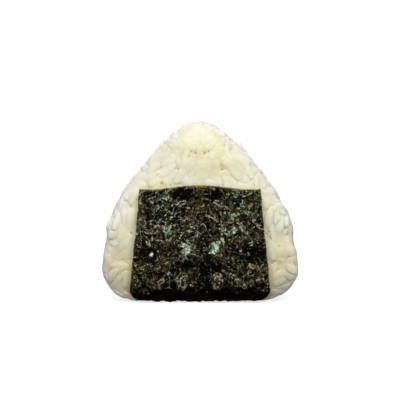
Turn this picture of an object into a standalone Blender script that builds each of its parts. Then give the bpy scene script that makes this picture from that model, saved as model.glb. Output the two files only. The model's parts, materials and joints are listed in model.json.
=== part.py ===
"""Onigiri: rice pressed into a rounded triangle that stands on its base, with a strip of nori folded
round the base and up both faces.

Run with: blender --background --python part.py
Metres, +Z up. The front faces -Y, and the origin is the middle of the base."""

import math

import bmesh
import bpy
import numpy as np
from mathutils import Matrix, Vector

MM = 0.001

# Outline of the bare rice core seen from the front: arcs round an apex and two lower corners
CORE_TOP = 73.1 * MM
APEX_RADIUS = 13.0 * MM
CORNER_RADIUS = 16.4 * MM
CORNER_X = 23.5 * MM
SIDE_RADIUS = 81.0 * MM
CORE_BASE = 0.2 * MM

# Thickness of the core: a pillow whose faces bulge a little over the middle
HALF_THICKNESS = 15.2 * MM
PILLOW_POWER = 4.6
PILLOW_CENTRE_Z = 31.0 * MM
FLAT_BASE_Z = 0.95 * MM
CORE_COLUMNS = 42
CORE_RINGS = 10

# Cooked short-grain rice
GRAIN_LENGTHS = (8.4 * MM, 7.4 * MM, 6.2 * MM, 5.2 * MM)
GRAIN_HALF_WIDTH = 1.8 * MM
GRAIN_HALF_HEIGHT = 1.45 * MM
GRAIN_SIZE_SPREAD = 0.09
GRAIN_SUNK = 0.5 * MM
GRAIN_SUNK_SPREAD = 0.12 * MM
GRAIN_AXIS_GAP = 2.85 * MM
GRAIN_SIDES = 6
GRAIN_SHOULDER = 0.52
GRAIN_BELLY = 0.12
TRIES_PER_LENGTH = 12000
LOWEST_GRAIN_Z = 0.15 * MM
LOWEST_GRAIN_SPREAD = 0.3 * MM
SEED = 11

# Strip of nori: half its width at each height, and its top edge
NORI_GAP = 0.32 * MM
NORI_THICKNESS = 0.5 * MM
NORI_HALF_WIDTH_TOP = 24.0 * MM
NORI_HALF_WIDTH_WIDEST = 28.2 * MM
NORI_WIDEST_Z = 5.0 * MM
NORI_HALF_WIDTH_UNDER = 23.5 * MM
NORI_TOP_Z = 46.0 * MM
NORI_TOP_ARCH = 1.7 * MM
NORI_ARCH_REACH = 18.0 * MM
NORI_EDGE_WAVE = 0.25 * MM
NORI_WAVE = 0.9 * MM
NORI_WAVE_LENGTHS = (27 * MM, 21 * MM, 16 * MM, 13 * MM)
NORI_CALM_Z = (1.2 * MM, 6.0 * MM)
NORI_ROWS = 38
NORI_COLUMNS = 15
NORI_CLEARANCE = 0.35 * MM
EDGE_BAND = 4.0 * MM
EDGE_FAVOUR = 3.0

# Colours, roughness
RICE_LOOK = ((0.82, 0.77, 0.60), 0.5)
NORI_LOOK = ((0.022, 0.021, 0.011), 0.35)


def clear_scene():
    for obj in list(bpy.data.objects):
        bpy.data.objects.remove(obj)


def material(name, colour, roughness):
    made = bpy.data.materials.new(name)
    made.use_nodes = True
    shader = made.node_tree.nodes["Principled BSDF"]
    shader.inputs["Base Color"].default_value = (*colour, 1.0)
    shader.inputs["Roughness"].default_value = roughness
    shader.inputs["Metallic"].default_value = 0.0
    return made


# Rice body

def side_arc_centre(apex, corner):
    """Centre of the long arc that is tangent to the apex circle and to the right corner circle."""
    to_apex = SIDE_RADIUS - APEX_RADIUS
    to_corner = SIDE_RADIUS - CORNER_RADIUS
    line = corner - apex
    length = np.hypot(*line)
    along = (to_apex**2 - to_corner**2 + length**2) / (2 * length)
    off = math.sqrt(to_apex**2 - along**2)
    unit = line / length
    return apex + along * unit + off * np.array([unit[1], -unit[0]])


def outline_pieces():
    """The outline from the middle of the base, anticlockwise: for each stretch its start and end centre,
    its radius, and its start and end direction. The flat base is a corner circle that slides along X."""
    apex = np.array([0.0, CORE_TOP - APEX_RADIUS])
    corner = np.array([CORNER_X, CORE_BASE + CORNER_RADIUS])
    side = side_arc_centre(apex, corner)
    up_side = math.atan2(*(corner - side)[::-1])
    up_apex = math.atan2(*(apex - side)[::-1])
    mirror = np.array([-1.0, 1.0])
    middle = np.array([0.0, corner[1]])
    down, left = -math.pi / 2, math.pi
    right_half = [
        (middle, corner, CORNER_RADIUS, down, down),
        (corner, corner, CORNER_RADIUS, down, up_side),
        (side, side, SIDE_RADIUS, up_side, up_apex),
        (apex, apex, APEX_RADIUS, up_apex, math.pi / 2),
    ]
    left_half = [
        (end * mirror, start * mirror, radius, left - stop, left - begin)
        for start, end, radius, begin, stop in reversed(right_half)
    ]
    return right_half + left_half


def outline(shares):
    """Points (x, z) of the outline at these shares of its length."""
    pieces = outline_pieces()
    lengths = [
        radius * (stop - begin) + np.hypot(*(end - start))
        for start, end, radius, begin, stop in pieces
    ]
    ends = np.concatenate([[0.0], np.cumsum(lengths)])
    at = (np.asarray(shares) % 1.0) * ends[-1]
    index = np.clip(np.searchsorted(ends, at, side="right") - 1, 0, len(pieces) - 1)
    part = ((at - ends[index]) / np.array(lengths)[index])[:, None]
    starts, stops, radii, begins, finishes = (np.array(column) for column in zip(*pieces))
    centre = starts[index] + part * (stops[index] - starts[index])
    angle = begins[index] + part[:, 0] * (finishes[index] - begins[index])
    direction = np.column_stack([np.cos(angle), np.sin(angle)])
    return centre + radii[index][:, None] * direction


def section(count):
    """The pillow's section from its front middle to its back middle, in equal steps along the curve:
    (share of the outline's size, share of the half thickness) on a superellipse."""
    turn = np.linspace(-math.pi / 2, math.pi / 2, 4001)
    reach = np.cos(turn).clip(0) ** (2 / PILLOW_POWER)
    height = np.sign(turn) * np.abs(np.sin(turn)) ** (2 / PILLOW_POWER)
    step = np.hypot(np.diff(reach) * CORE_TOP / 2, np.diff(height) * HALF_THICKNESS)
    run = np.concatenate([[0.0], np.cumsum(step)])
    even = np.linspace(0, run[-1], count)
    return np.interp(even, run, reach), np.interp(even, run, height)


def rice_surface(columns, rings):
    """Points of the bare core on a grid: rings from the front middle to the back middle."""
    middle = np.array([0.0, PILLOW_CENTRE_Z])
    edge = outline(np.arange(columns) / columns) - middle
    reach, height = section(rings)
    flat = middle + reach[:, None, None] * edge
    points = np.empty((rings, columns, 3))
    points[:, :, 0] = flat[:, :, 0]
    points[:, :, 1] = (height * HALF_THICKNESS)[:, None]
    points[:, :, 2] = flat[:, :, 1].clip(FLAT_BASE_Z)
    return points


def half_thickness(x, z):
    """How far the core reaches from its middle plane at (x, z), from its outline in polar form."""
    points = outline(np.linspace(0, 1, 4001)[:-1]) - [0.0, PILLOW_CENTRE_Z]
    angle = np.arctan2(points[:, 1], points[:, 0])
    order = np.argsort(angle)
    reach = np.interp(
        np.arctan2(z - PILLOW_CENTRE_Z, x),
        angle[order],
        np.hypot(*points.T)[order],
        period=2 * math.pi,
    )
    share = np.hypot(x, z - PILLOW_CENTRE_Z) / reach
    return HALF_THICKNESS * (1 - share.clip(0, 1) ** PILLOW_POWER) ** (1 / PILLOW_POWER)


def mesh_object(name, points, faces):
    mesh = bpy.data.meshes.new(name)
    mesh.from_pydata([tuple(p) for p in points], [], [tuple(f) for f in faces])
    mesh.update()
    obj = bpy.data.objects.new(name, mesh)
    bpy.context.scene.collection.objects.link(obj)
    return obj


def rice_core():
    """The bare core: rings of quads, with a fan of triangles on the middle of each face."""
    grid = rice_surface(CORE_COLUMNS, 2 * CORE_RINGS + 1)
    rings = grid[1:-1]
    points = [grid[0, 0], *rings.reshape(-1, 3), grid[-1, 0]]
    last = len(points) - 1
    ring_start = 1 + np.arange(len(rings)) * CORE_COLUMNS
    column = np.arange(CORE_COLUMNS)
    after = (column + 1) % CORE_COLUMNS
    faces = [(0, ring_start[0] + c, ring_start[0] + d) for c, d in zip(column, after)]
    for low, high in zip(ring_start[:-1], ring_start[1:]):
        faces += [(low + c, high + c, high + d, low + d) for c, d in zip(column, after)]
    faces += [(last, ring_start[-1] + d, ring_start[-1] + c) for c, d in zip(column, after)]
    core = mesh_object("rice", points, faces)
    recalculate_normals(core)
    return core


def recalculate_normals(obj):
    shape = bmesh.new()
    shape.from_mesh(obj.data)
    bmesh.ops.recalc_face_normals(shape, faces=shape.faces[:])
    shape.to_mesh(obj.data)
    shape.free()


# Grains of rice

def nori_half_width(z):
    """Half the strip's width: it widens from its top edge down to just above the base."""
    up = (z - NORI_WIDEST_Z) / (NORI_TOP_Z - NORI_WIDEST_Z)
    down = (z / NORI_WIDEST_Z).clip(0, 1)
    above = NORI_HALF_WIDTH_WIDEST + (NORI_HALF_WIDTH_TOP - NORI_HALF_WIDTH_WIDEST) * up.clip(0, 1)
    below = NORI_HALF_WIDTH_UNDER + (NORI_HALF_WIDTH_WIDEST - NORI_HALF_WIDTH_UNDER) * down
    return np.where(z > NORI_WIDEST_Z, above, below)


def nori_top(x):
    """Height of the strip's top edge: level at its corners, with a low arch over the middle."""
    return NORI_TOP_Z + NORI_TOP_ARCH * (1 - (x / NORI_ARCH_REACH) ** 2).clip(0) ** 1.5


def touches_nori(points, room):
    x, z = points[..., 0], points[..., 2]
    inside = np.abs(x) < nori_half_width(z) + room
    return (inside & (z < nori_top(x) + room)).any(axis=-1)


def grain_mesh():
    """A grain of unit half-length along X: two poles and two rings."""
    stations = (-GRAIN_SHOULDER, GRAIN_SHOULDER)
    points = [(-1.0, 0.0, 0.0)]
    for along in stations:
        for side in range(GRAIN_SIDES):
            turn = 2 * math.pi * side / GRAIN_SIDES
            points.append((along, math.cos(turn) + GRAIN_BELLY, math.sin(turn)))
    points.append((1.0, 0.0, 0.0))
    last = len(points) - 1
    faces = []
    for side in range(GRAIN_SIDES):
        after = (side + 1) % GRAIN_SIDES
        faces.append((0, 1 + after, 1 + side))
        for ring in range(len(stations) - 1):
            start = 1 + ring * GRAIN_SIDES
            faces.append((start + side, start + after, start + GRAIN_SIDES + after, start + GRAIN_SIDES + side))
        faces.append((last - GRAIN_SIDES + side, last - GRAIN_SIDES + after, last))
    return np.array(points), faces


def pack_grains(rng):
    """Grains laid flat on the core one by one, the longest first, each where it finds room:
    a list of (place, long direction, outward direction, length)."""
    columns, rings = 240, 121
    grid = rice_surface(columns, rings)
    around = np.roll(grid, -1, axis=1) - np.roll(grid, 1, axis=1)
    across = np.gradient(grid, axis=0)
    normal = np.cross(across, around)
    area = np.linalg.norm(normal, axis=-1)
    normal /= area[..., None].clip(1e-15)
    outward = np.sign((normal * (grid - [0, 0, PILLOW_CENTRE_Z])).sum(-1, keepdims=True))
    normal, grid, area = (normal * outward).reshape(-1, 3), grid.reshape(-1, 3), area.reshape(-1)
    free = ~touches_nori(grid[:, None], GRAIN_HALF_WIDTH)
    beside = touches_nori(grid[:, None], EDGE_BAND)
    chance = area * free * (1 + EDGE_FAVOUR * beside)
    chance /= chance.sum()
    axes = np.empty((0, 3, 3))
    found = []
    for length in GRAIN_LENGTHS:
        picked = rng.choice(len(grid), TRIES_PER_LENGTH, p=chance)
        turns = rng.uniform(0, math.pi, TRIES_PER_LENGTH)
        for index, turn in zip(picked, turns):
            place, out = grid[index], normal[index]
            flat = Vector(out).orthogonal().normalized()
            along = np.array(Matrix.Rotation(turn, 3, Vector(out)) @ flat)
            reach = length / 2 - GRAIN_HALF_WIDTH
            axis = place + np.array([[-reach], [0.0], [reach]]) * along
            if touches_nori(axis, GRAIN_HALF_WIDTH + NORI_CLEARANCE):
                continue
            gaps = np.linalg.norm(axes[:, :, None] - axis[None, None], axis=-1)
            if gaps.size and gaps.min() < GRAIN_AXIS_GAP:
                continue
            axes = np.concatenate([axes, axis[None]])
            found.append((place, along, out, length))
    return found


def place_grains(collection):
    """Each grain as its own closed mesh, pressed into the core and flattened where it meets the table."""
    rng = np.random.default_rng(SEED)
    shape, faces = grain_mesh()
    for number, (place, along, out, length) in enumerate(pack_grains(rng)):
        girth = 1 + GRAIN_SIZE_SPREAD * rng.uniform(-1, 1)
        size = np.array([length / 2, GRAIN_HALF_WIDTH * girth, GRAIN_HALF_HEIGHT * girth])
        sunk = GRAIN_SUNK + GRAIN_SUNK_SPREAD * rng.uniform(-1, 1)
        frame = np.array([along, np.cross(out, along), out])
        points = place - sunk * out + (shape * size) @ frame
        floor = LOWEST_GRAIN_Z + LOWEST_GRAIN_SPREAD * rng.uniform()
        points[:, 2] = points[:, 2].clip(floor)
        grain = mesh_object(f"grain_{number:03d}", points, faces)
        bpy.context.scene.collection.objects.unlink(grain)
        collection.objects.link(grain)
        grain.hide_render = True
        grain.display_type = "WIRE"
    return number + 1


def keep_largest_shell(obj):
    """Drops the inner shells and scraps that fusing leaves, so that sealed hollows are filled."""
    shape = bmesh.new()
    shape.from_mesh(obj.data)
    left, shells = set(shape.faces), []
    while left:
        front = [left.pop()]
        shell = list(front)
        while front:
            beside = {f for edge in front.pop().edges for f in edge.link_faces} & left
            left -= beside
            front += beside
            shell += beside
        shells.append(shell)
    shells.sort(key=len)
    bmesh.ops.delete(shape, geom=[f for shell in shells[:-1] for f in shell], context="FACES")
    shape.to_mesh(obj.data)
    shape.free()


def build_rice():
    core = rice_core()
    collection = bpy.data.collections.new("grains")
    bpy.context.scene.collection.children.link(collection)
    count = place_grains(collection)
    union = core.modifiers.new("fuse_grains", "BOOLEAN")
    union.operation = "UNION"
    union.operand_type = "COLLECTION"
    union.collection = collection
    union.solver = "EXACT"
    bpy.context.view_layer.objects.active = core
    bpy.ops.object.modifier_apply(modifier=union.name)
    for grain in list(collection.objects):
        bpy.data.objects.remove(grain)
    bpy.data.collections.remove(collection)
    keep_largest_shell(core)
    core.data.materials.append(material("cooked_rice", *RICE_LOOK))
    print(count, "grains")
    return core


# Nori

def guide():
    """Half the strip's path at x = 0, from the middle of the base up the front to its top edge, in
    equal steps: distance out from the middle plane, height, and the direction that points outwards."""
    reach, height = section(8001)
    lower = slice(0, 4001)
    z = (PILLOW_CENTRE_Z - reach[lower] * (PILLOW_CENTRE_Z - CORE_BASE)).clip(FLAT_BASE_Z)
    depth = -height[lower] * HALF_THICKNESS
    up_z = np.linspace(PILLOW_CENTRE_Z, NORI_TOP_Z, 2000)[1:]
    z = np.concatenate([z[::-1], up_z])
    depth = np.concatenate([depth[::-1], half_thickness(0 * up_z, up_z)])
    run = np.concatenate([[0.0], np.cumsum(np.hypot(np.diff(z), np.diff(depth)))])
    even = np.linspace(0, run[-1], NORI_ROWS // 2 + 1)
    return np.interp(even, run, depth), np.interp(even, run, z)


def nori_inner_face():
    """Grid of points on the bare core under the strip: rows from the front's top edge round the base
    to the back's. Each row is a point of the guide, slid inwards at each column until it meets the core."""
    depth, height = guide()
    turned = np.gradient(height), -np.gradient(depth)
    out_y, out_z = turned / np.hypot(*turned)
    across = np.linspace(-1, 1, NORI_COLUMNS + 1)
    x = across * nori_half_width(height)[:, None]
    share = np.arange(len(height)) / (len(height) - 1)
    lift = (nori_top(x) - NORI_TOP_Z) * share[:, None] ** 4
    low, high = np.full(x.shape, -9 * MM), np.full(x.shape, 2 * MM)
    for _ in range(40):
        middle = (low + high) / 2
        y = depth[:, None] + middle * out_y[:, None]
        z = height[:, None] + lift + middle * out_z[:, None]
        inside = (y < half_thickness(x, z)) & (z > FLAT_BASE_Z)
        low, high = np.where(inside, middle, low), np.where(inside, high, middle)
    y = depth[:, None] + low * out_y[:, None]
    z = height[:, None] + lift + low * out_z[:, None]
    front = np.stack([x, -y, z], axis=-1)
    back = np.stack([x, y, z], axis=-1)
    return np.concatenate([front[:0:-1], back])


def nori_waves(inner, rng):
    """How far the strip stands off the core: sines that run in different directions over the strip,
    fading out at its side edges, where it clings to the rice, and towards the flat base."""
    step = np.linalg.norm(np.diff(inner, axis=0), axis=-1)
    along = np.concatenate([np.zeros((1, inner.shape[1])), np.cumsum(step, axis=0)])
    total = 0
    for length in NORI_WAVE_LENGTHS:
        turn, start = rng.uniform(0, math.pi), rng.uniform(0, 2 * math.pi)
        run = inner[..., 0] * math.cos(turn) + along * math.sin(turn)
        total = total + np.sin(2 * math.pi * run / length + start)
    height = 0.5 + 0.5 * total / len(NORI_WAVE_LENGTHS)
    across = np.linspace(-1, 1, inner.shape[1])
    still, free = NORI_CALM_Z
    rise = ((inner[..., 2] - still) / (free - still)).clip(0, 1)
    return NORI_WAVE * height * (1 - across**4) * rise


def build_nori():
    inner = nori_inner_face()
    normal = np.cross(np.gradient(inner, axis=0), np.gradient(inner, axis=1))
    normal /= np.linalg.norm(normal, axis=-1, keepdims=True)
    rng = np.random.default_rng(SEED)
    stand_off = NORI_GAP + nori_waves(inner, rng)
    lower = inner + normal * stand_off[..., None]
    upper = lower + normal * NORI_THICKNESS
    still, free = NORI_CALM_Z
    for side in (0, -1):
        calm = ((inner[:, side, 2] - still) / (free - still)).clip(0, 1)
        sway = NORI_EDGE_WAVE * rng.uniform(-1, 1, len(inner)) * calm
        lower[:, side, 0] += sway
        upper[:, side, 0] += sway
    flat = upper[..., 2] < 0.25 * MM
    upper[flat, 2] = 0
    rows, columns = inner.shape[:2]
    index = np.arange(rows * columns).reshape(rows, columns)
    a, b, c, d = index[:-1, :-1], index[:-1, 1:], index[1:, 1:], index[1:, :-1]
    half = np.concatenate([np.stack([a, b, c], -1), np.stack([a, c, d], -1)]).reshape(-1, 3)
    rim = np.concatenate([index[0], index[1:, -1], index[-1, -2::-1], index[-2:0:-1, 0]])
    onward = np.roll(rim, -1)
    size = rows * columns
    walls = np.concatenate([
        np.stack([rim, onward, onward + size], -1),
        np.stack([rim, onward + size, rim + size], -1),
    ])
    points = np.concatenate([lower.reshape(-1, 3), upper.reshape(-1, 3)])
    faces = np.concatenate([half, half[:, ::-1] + size, walls])
    nori = mesh_object("nori", points, faces)
    recalculate_normals(nori)
    nori.data.materials.append(material("nori_sheet", *NORI_LOOK))
    return nori


clear_scene()
for made in (build_rice(), build_nori()):
    made.data.shade_smooth()
    made.data.set_sharp_from_angle(angle=math.radians(40))
    print(made.name, len(made.data.polygons), "faces")
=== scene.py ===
"""Looks of the onigiri: pressed rice with every grain that shows, and the crinkled nori strip folded
round its base. Metres, +Z up, the front faces -Y. The core's outline and section and the strip's size
are those of the CAD part, but the strip is thinner and its lower corners are round."""

import json
import math

import bpy
import numpy as np
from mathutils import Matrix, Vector

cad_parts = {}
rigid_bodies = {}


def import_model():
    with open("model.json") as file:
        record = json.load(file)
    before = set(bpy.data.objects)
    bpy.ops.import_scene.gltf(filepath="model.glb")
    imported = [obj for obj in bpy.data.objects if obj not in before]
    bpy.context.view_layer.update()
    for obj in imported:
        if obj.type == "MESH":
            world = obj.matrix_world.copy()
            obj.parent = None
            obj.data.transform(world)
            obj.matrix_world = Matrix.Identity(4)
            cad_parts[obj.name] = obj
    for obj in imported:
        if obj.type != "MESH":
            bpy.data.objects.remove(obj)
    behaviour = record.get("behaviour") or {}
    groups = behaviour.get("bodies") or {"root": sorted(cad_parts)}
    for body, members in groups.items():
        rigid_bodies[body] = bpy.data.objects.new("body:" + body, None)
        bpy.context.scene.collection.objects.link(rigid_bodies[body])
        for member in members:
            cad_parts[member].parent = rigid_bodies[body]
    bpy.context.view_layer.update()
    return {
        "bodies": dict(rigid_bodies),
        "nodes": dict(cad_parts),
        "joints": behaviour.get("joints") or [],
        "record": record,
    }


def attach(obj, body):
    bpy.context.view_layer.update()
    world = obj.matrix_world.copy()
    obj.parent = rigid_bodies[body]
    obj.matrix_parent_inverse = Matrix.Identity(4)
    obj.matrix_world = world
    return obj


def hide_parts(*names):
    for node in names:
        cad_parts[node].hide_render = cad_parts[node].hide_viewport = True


MM = 0.001

# Outline of the bare rice core seen from the front
CORE_TOP = 73.1 * MM
APEX_RADIUS = 13.0 * MM
CORNER_RADIUS = 16.4 * MM
CORNER_X = 23.5 * MM
SIDE_RADIUS = 81.0 * MM
CORE_BASE = 0.2 * MM

# Thickness of the core
HALF_THICKNESS = 15.2 * MM
PILLOW_POWER = 4.6
PILLOW_CENTRE_Z = 31.0 * MM
FLAT_BASE_Z = 0.95 * MM

# Thickness, as a share of the core's, at which the pressed faces begin and over which they grow flat
FLAT_FROM = 0.55
FLAT_SPAN = 0.4

# Mesh of the core, and the coarser one on which the grains are laid
CORE_COLUMNS = 470
CORE_RINGS = 201
LAYING_COLUMNS = 300
LAYING_RINGS = 141

# Soft unevenness of the core
LUMP_HEIGHT = 0.6 * MM
LUMP_LENGTHS = (21 * MM, 16 * MM, 12 * MM, 9 * MM)
LUMPS_NEAR_NORI = 2.0 * MM
LUMP_SEED = 3

# Bulges of the rim: a height, and how far the rim stands out there, in millimetres. They sway up and down
# across the thickness.
RIM_LUMPS = (
    (0, 0.3), (4, 0.9), (9, 0.6), (12, 0.35), (15, -0.4), (24, -0.6), (26.5, -0.5), (30.5, 0.9),
    (34, 0.75), (37, 0.7), (40, 0.0), (43, 0.3), (46, 0.2), (49, -0.35), (54, -0.6), (62, -0.45),
    (65, 0.25), (70, 0.1), (74, -0.35),
)
RIM_SWAY = 1.3 * MM
RIM_SWAY_LENGTH = 23 * MM

# Grains of rice: the ones on top are meshes, the ones below them are relief on the core
TOP_LENGTHS = (8.4 * MM, 7.6 * MM, 6.8 * MM, 5.8 * MM, 4.8 * MM)
TOP_GAP = 2.0 * MM
TRIES_PER_LENGTH = 14000
AXIS_SPOTS = 5
AXES_IN_REACH = 9.0 * MM
UNDER_COUNT = 450
UNDER_LENGTH = 7.4 * MM
UNDER_SUNK = 0.95 * MM
UNDER_PALEST = 0.7
GRAIN_HALF_WIDTH = 2.0 * MM
GRAIN_HALF_HEIGHT = 1.25 * MM
GRAIN_SIZE_SPREAD = 0.12
GRAIN_SUNK = 0.45 * MM
SUNK_SPREAD = 0.45
GRAIN_TILT = 0.06
GRAIN_BEND = 0.22
GRAIN_LEAN = 0.1
GRAIN_POWER = 2.4
GRAIN_RINGS = 6
GRAIN_SIDES = 10
SEAM_BELOW = 0.8
SEAM_SPAN = 0.5
RICE_SEED = 9

# How the grains are pressed and flow together
FUSING = 0.07 * MM
GRAIN_LEVELS = 0.17 * MM
GRAIN_RISE = 0.04 * MM
RELIEF_FLOOR = -0.08 * MM
FLOOR_TINT = 0.35
RELIEF_MARGIN = 0.8 * MM
LIFT_SOFTNESS = 0.12
PRESS_ROOM = 0.5 * MM
PRESS_ROOM_FLAT = 0.195 * MM
PRESS_SOFTNESS = 0.6 * MM
PRESS_NEAR_NORI = 0.9 * MM
LEAST_ROOM = 0.15
LOWEST_RICE_Z = 0.15 * MM
COVER_REACH = 0.8 * MM

# Clearance of the grains from the strip, in half widths: of the spot that is picked, and of the axis
START_CLEARANCE = 0.6
NORI_CLEARANCE = 0.45

# Damp rice beside the strip, with painted shade there
STAIN_AND_SHADE_REACH = 3.0 * MM

# Pits between the grains. The placed ones, by their distance from the middle and their height in
# millimetres, lie on both sides of the front, and no grain's axis comes within the open spot of them.
PIT_COUNT = 50
PIT_DEPTH = 0.5 * MM
PIT_RADIUS = 0.38 * MM
PIT_SIZES = (0.5, 0.95)
PIT_LOW_SHARE = 0.06
PIT_CLEARANCE = 1.0 * MM
PLACED_PIT_SIZE = 1.4
OPEN_SPOT = 1.9 * MM
PLACED_PITS = (
    (3.5, 61.0), (1.9, 60.6), (8.7, 53.9), (17.0, 51.8), (13.5, 64.2), (28.4, 39.3), (27.8, 38.5),
    (27.5, 28.9), (27.1, 28.1), (29.9, 16.9), (29.3, 16.2),
)
PIT_PLACES = np.array([(side * x * MM, z * MM) for x, z in PLACED_PITS for side in (-1, 1)])

# Strip of nori
NORI_GAP = 0.32 * MM
NORI_THICKNESS = 0.3 * MM
SHEET_SETTLED = 0.27 * MM
SHEET_LOWEST = 0.1 * MM
CLINGING = 0.3
CLING_REACH = 3.5 * MM
NORI_HALF_WIDTH_TOP = 24.0 * MM
NORI_HALF_WIDTH_WIDEST = 28.2 * MM
NORI_WIDEST_Z = 5.0 * MM
NORI_HALF_WIDTH_UNDER = 24.2 * MM
NORI_TOP_Z = 46.0 * MM
NORI_TOP_ARCH = 1.7 * MM
NORI_ARCH_REACH = 18.0 * MM
NORI_WAVE = 0.9 * MM
NORI_WAVE_LENGTHS = (27 * MM, 21 * MM, 16 * MM, 13 * MM)
NORI_CALM_Z = (1.2 * MM, 6.0 * MM)
NORI_SEED = 11
NORI_ROWS = 300
NORI_COLUMNS = 136
SLIDE_RANGE = (-9 * MM, 2 * MM)
SLIDE_HALVINGS = 30
LOWER_FACE_Z = 0.3 * MM
LOOP_RISE = 0.15 * MM
LOOP_WIDTH = 0.27 * MM

# Crinkles of the nori: how far a slow noise shifts them and its cell, the crests' cells and heights, and
# the facets' cells and steepness, with the seeds of each
CRINKLE_SHIFT = 1.1 * MM
CRINKLE_SHIFT_CELL = 3.1 * MM
CRINKLE_SHIFT_SEEDS = (21, 22)
CRESTS = ((4.2 * MM, 0.2 * MM, 23), (2.0 * MM, 0.16 * MM, 24))
FACETS = ((2.4 * MM, 0.4, 25), (1.3 * MM, 0.35, 26))

# Frayed edges of the nori: reach, cell and seed of each noise
SIDE_FRAYING = ((0.28 * MM, 0.9 * MM, 31), (0.35 * MM, 7 * MM, 32))
END_FRAYING = ((0.3 * MM, 0.9 * MM, 33),)

# Where the nori looks different, in millimetres: distance from the middle, height, reach sideways, reach
# upwards, strength. Each lies on both sides of the front, and the back has as many at random places, where
# a mark wider than the strip keeps its height.
# The mint and pink marks place and tint the painted highlights; the void marks darken the sheet and hold
# them back.
NORI_VOIDS = (
    (7, 43.9, 4.5, 3.2, 1.0), (5.5, 14.8, 4.5, 4.5, 0.9), (21, 19.8, 4.5, 4.0, 0.8),
    (0, 2.2, 60, 4.1, 1.15), (13, 3.4, 7, 4.5, 0.5), (0, 9, 3, 3, 0.5), (4.6, 22.0, 0.8, 1.1, 0.8),
)
NORI_OLIVE = (
    (0, 40.5, 2.8, 9, 1.0), (22, 36, 2.6, 6, 1.0), (23, 26, 2.6, 2.6, 0.8), (24.5, 11.5, 3.6, 3.8, 1.2),
    (10.5, 21, 4, 3.5, 0.7), (16, 13.5, 4, 3, 0.5), (24, 18, 1.8, 5, 0.6),
)
NORI_MINT = (
    (13, 37.3, 5, 5.5, 0.85), (14.5, 43.3, 5, 2.5, 0.7), (12, 29.3, 4, 3, 0.6), (9, 26.3, 2.6, 2.2, 0.7),
    (5.6, 22.6, 2.5, 3.1, 2.0), (20.3, 24.4, 1.3, 1.1, 2.0), (19.2, 20.2, 0.8, 1.2, 2.0),
    (13.6, 29.9, 0.8, 1.4, 1.5),
)
NORI_PINK = (
    (16, 28.8, 5, 2.6, 1.0), (20.5, 32.3, 2, 4, 0.6), (6.6, 9.7, 2.6, 3.6, 1.1), (16, 9.3, 4.2, 2.6, 1.0),
    (5, 35.3, 3.2, 3.2, 0.8), (7, 40.3, 3.5, 2, 0.7), (21, 14.8, 3.5, 1.5, 0.7), (9, 15.3, 3, 2, 0.4),
)
NORI_MARKS = {"void": NORI_VOIDS, "olive": NORI_OLIVE, "mint": NORI_MINT, "pink": NORI_PINK}
FIRST_MARK_SEED = 41
BACK_MARKS_OFF = (0, 23)
BACK_MARKS_HEIGHT = (4, 43)
WIDER_THAN_STRIP = 30.0 * MM

# Rings of the nori where a leaf has curled: distance from the middle, height, half width, half length and
# how far the length leans towards the middle, in millimetres and degrees
NORI_LOOPS = (
    (7.0, 9.5, 2.1, 3.3, 0), (6.8, 9.3, 1.0, 2.4, 0), (16.4, 8.4, 0.8, 2.6, 48),
    (21.5, 15.2, 0.6, 2.2, 68), (17.6, 30.2, 0.8, 1.9, 40), (13.2, 29.6, 0.7, 2.0, -55),
    (7.4, 40.6, 0.7, 1.8, 62),
)
LOOP_SEED = 45
BACK_LOOPS = ((-22, 22), (7, 42), (0, 180))

# Studio: the floor, the lights by name, place, size and watts, and the camera
FLOOR_RADIUS = 1.4
FLOOR_BEND = 0.5
WALL_HEIGHT = 2.2
LIT_POINT = (0.0, 0.0, 0.035)
LIGHTS = (
    ("overhead", (0.0, -0.42, 0.75), (0.5, 0.35), 4.0),
    ("front", (0.0, -1.0, 0.5), (0.6, 0.3), 3.5),
    ("left", (-0.8, -0.12, 0.12), (0.25, 0.2), 1.05),
    ("right", (0.8, -0.12, 0.12), (0.25, 0.2), 1.05),
    ("behind", (0.0, 0.9, 0.25), (0.6, 0.3), 2.5),
)
WORLD_STRENGTH = 0.24
CAMERA_AIM_Z = 40.8 * MM
CAMERA_ELEVATION = math.radians(4.0)
CAMERA_DISTANCE = 0.502


def fade(t):
    """A smooth step: 0 at 0, 1 at 1, level at both."""
    return t**3 * (t * (6 * t - 15) + 10)


def unit(vectors):
    return vectors / np.linalg.norm(vectors, axis=-1, keepdims=True)


def evenly(count, steps, *values):
    """Values known along a path with these steps, at places that lie equally far apart on it."""
    run = np.concatenate([[0.0], np.cumsum(steps)])
    even = np.linspace(0, run[-1], count)
    return [np.interp(even, run, known) for known in values]


def step_round(points):
    """From the point before each one to the point after it on its ring."""
    return np.roll(points, -1, axis=1) - np.roll(points, 1, axis=1)


# Rice core

def side_arc_centre(apex, corner):
    """Centre of the long arc that is tangent to the apex circle and to the right corner circle."""
    to_apex = SIDE_RADIUS - APEX_RADIUS
    to_corner = SIDE_RADIUS - CORNER_RADIUS
    line = corner - apex
    length = np.hypot(*line)
    along = (to_apex**2 - to_corner**2 + length**2) / (2 * length)
    off = math.sqrt(to_apex**2 - along**2)
    ahead = line / length
    return apex + along * ahead + off * np.array([ahead[1], -ahead[0]])


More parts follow.
